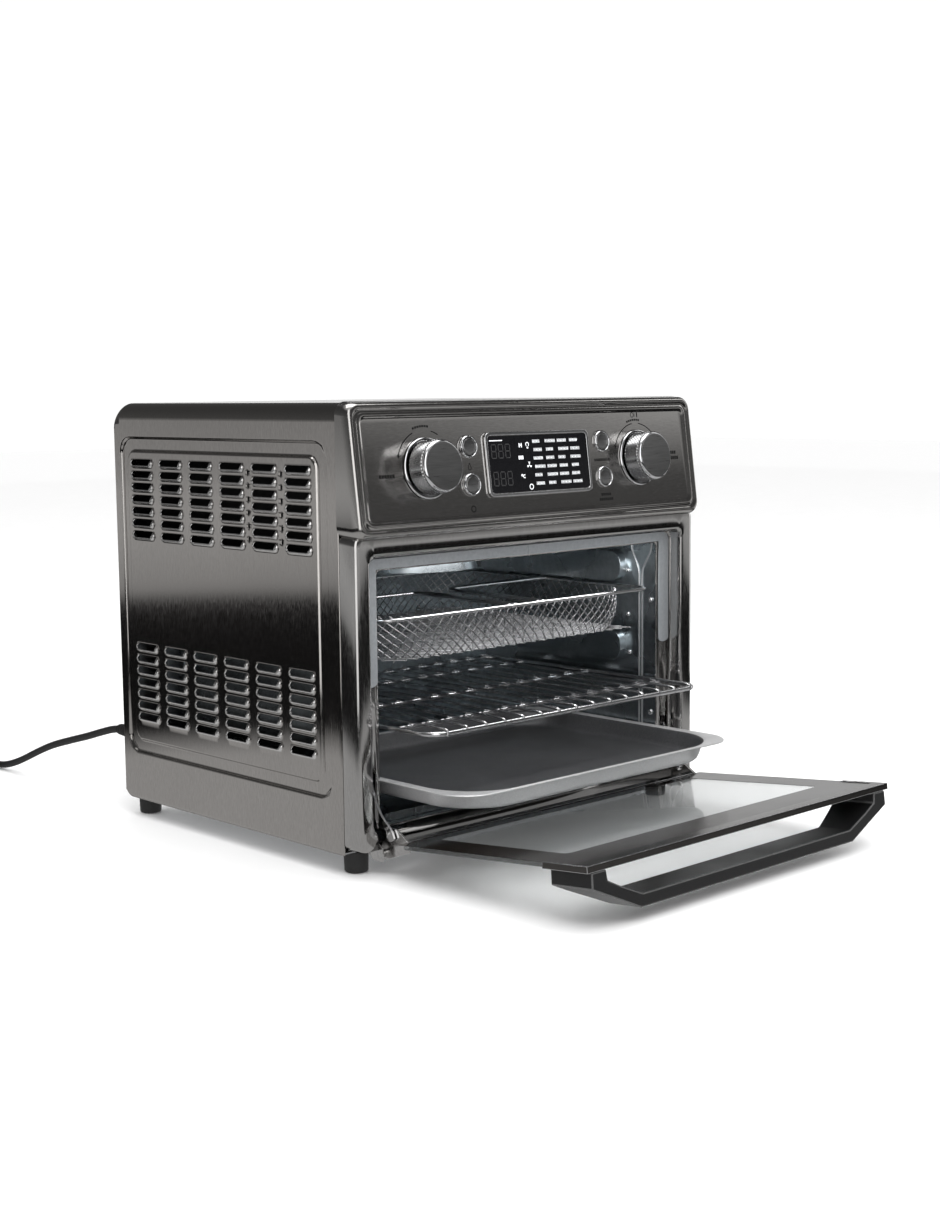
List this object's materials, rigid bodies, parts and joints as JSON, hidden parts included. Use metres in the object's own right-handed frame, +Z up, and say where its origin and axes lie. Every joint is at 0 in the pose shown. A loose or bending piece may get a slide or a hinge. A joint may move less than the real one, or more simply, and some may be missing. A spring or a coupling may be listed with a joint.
{
  "type": "toaster oven",
  "caption": "Countertop air-fryer toaster oven with a drop-down glass door, angled control panel, pull-out pan, wire rack and frying basket.",
  "frame": {"origin": "centre of the footprint on the worktop, cord left out, with the door open", "axes": "+X to the right seen from the front, +Y towards the back, +Z up"},
  "size_m": [0.506, 0.8614, 0.3555],
  "materials": {
    "cabinet_steel": "dark brushed stainless sheet",
    "front_steel": "bright polished stainless",
    "galvanised": "zinc coated sheet, dull",
    "cavity_steel": "grey satin coated steel",
    "nonstick": "dark non-stick coating",
    "chrome_wire": "bright plated wire",
    "control_chrome": "polished plating with brushed caps",
    "button_steel": "metallic grey",
    "display_glass": "glossy black window",
    "door_glass": "clear tempered glass with a dark printed border",
    "handle_black": "satin black",
    "rubber_black": "matt",
    "heater_steel": "dark oxidised sheath",
    "circuit": "green board"
  },
  "bodies": {
    "oven": {"outer_shell": "cabinet_steel", "control_fascia": "cabinet_steel", "front_frame": "front_steel", "rear_panel": "galvanised", "base_plate": "galvanised", "encoder_left": "galvanised", "encoder_right": "galvanised", "fan_motor": "galvanised", "motor_bracket": "galvanised", "hinge_mount_left": "galvanised", "hinge_mount_right": "galvanised", "cavity_left_wall": "cavity_steel", "cavity_right_wall": "cavity_steel", "cavity_roof": "cavity_steel", "cavity_floor": "cavity_steel", "cavity_back_wall": "cavity_steel", "crumb_tray": "cavity_steel", "fan_guard": "cavity_steel", "knob_ring_left": "control_chrome", "knob_ring_right": "control_chrome", "display_bezel": "control_chrome", "button_ring_upper_left": "control_chrome", "button_ring_upper_right": "control_chrome", "button_ring_lower_left": "control_chrome", "button_ring_lower_right": "control_chrome", "display_window": "display_glass", "cord_gland": "rubber_black", "power_cord": "rubber_black", "cord_coil": "rubber_black", "power_plug": "rubber_black", "foot_front_left": "rubber_black", "foot_front_right": "rubber_black", "foot_rear_left": "rubber_black", "foot_rear_right": "rubber_black", "upper_heater_front": "heater_steel", "upper_heater_rear": "heater_steel", "lower_heater_front": "heater_steel", "lower_heater_rear": "heater_steel", "control_board": "circuit", "power_board": "circuit"},
    "door": {"door_glass": "door_glass", "door_top_trim": "front_steel", "door_bottom_trim": "front_steel", "handle": "handle_black", "door_hinge_left": "galvanised", "door_hinge_right": "galvanised"},
    "arm_left": {"door_arm_left": "front_steel"},
    "arm_right": {"door_arm_right": "front_steel"},
    "pan": {"baking_pan": "nonstick"},
    "rack": {"wire_rack": "chrome_wire"},
    "basket": {"fry_basket": "chrome_wire"},
    "dial_left": {"knob_left": "control_chrome", "encoder_shaft_left": "galvanised"},
    "dial_right": {"knob_right": "control_chrome", "encoder_shaft_right": "galvanised"},
    "fan": {"fan_rotor": "galvanised"},
    "push_upper_left": {"button_upper_left": "button_steel"},
    "push_upper_right": {"button_upper_right": "button_steel"},
    "push_lower_left": {"button_lower_left": "button_steel"},
    "push_lower_right": {"button_lower_right": "button_steel"}
  },
  "joints": [
    {"name": "door_hinge", "type": "hinge", "parent": "oven", "child": "door", "pos_m": [0, -0.04781, 0.0175], "axis": [-1, 0, 0], "range_deg": [0, 84.3]},
    {"name": "arm_left_rivet", "type": "hinge", "parent": "door", "child": "arm_left", "pos_m": [-0.169, -0.05741, 0.0336], "axis": [-1, 0, 0], "range_deg": [-48.5, 0]},
    {"name": "arm_right_rivet", "type": "hinge", "parent": "door", "child": "arm_right", "pos_m": [0.169, -0.05741, 0.0336], "axis": [-1, 0, 0], "range_deg": [-48.5, 0]},
    {"name": "pan_slide", "type": "slide", "parent": "oven", "child": "pan", "axis": [0, 1, 0], "range_m": [0, 0.1202]},
    {"name": "rack_slide", "type": "slide", "parent": "oven", "child": "rack", "axis": [0, 1, 0], "range_m": [0, 0.0662]},
    {"name": "basket_slide", "type": "slide", "parent": "oven", "child": "basket", "axis": [0, 1, 0], "range_m": [0, 0.0122]},
    {"name": "dial_left_turn", "type": "hinge", "parent": "oven", "child": "dial_left", "pos_m": [-0.1203, -0.04926, 0.30461], "axis": [0, -0.9917, 0.1288], "continuous": true},
    {"name": "dial_right_turn", "type": "hinge", "parent": "oven", "child": "dial_right", "pos_m": [0.1203, -0.04926, 0.30461], "axis": [0, -0.9917, 0.1288], "continuous": true},
    {"name": "push_upper_left_press", "type": "slide", "parent": "oven", "child": "push_upper_left", "axis": [0, 0.9917, -0.1288], "range_m": [0, 0.001], "stiffness_N_per_m": 500},
    {"name": "push_upper_right_press", "type": "slide", "parent": "oven", "child": "push_upper_right", "axis": [0, 0.9917, -0.1288], "range_m": [0, 0.001], "stiffness_N_per_m": 500},
    {"name": "push_lower_left_press", "type": "slide", "parent": "oven", "child": "push_lower_left", "axis": [0, 0.9917, -0.1288], "range_m": [0, 0.001], "stiffness_N_per_m": 500},
    {"name": "push_lower_right_press", "type": "slide", "parent": "oven", "child": "push_lower_right", "axis": [0, 0.9917, -0.1288], "range_m": [0, 0.001], "stiffness_N_per_m": 500},
    {"name": "fan_spin", "type": "hinge", "parent": "oven", "child": "fan", "pos_m": [0, 0.10919, 0.225], "axis": [0, 0, 1], "continuous": true}
  ],
  "couplings": [
    {"joint": "arm_left_rivet", "follows": "door_hinge", "ratio": -0.574},
    {"joint": "arm_right_rivet", "follows": "door_hinge", "ratio": -0.574},
    {"joint": "pan_slide", "follows": "door_hinge", "m_per_rad": 0.08156},
    {"joint": "rack_slide", "follows": "door_hinge", "m_per_rad": 0.04486},
    {"joint": "basket_slide", "follows": "door_hinge", "m_per_rad": 0.00816}
  ]
}
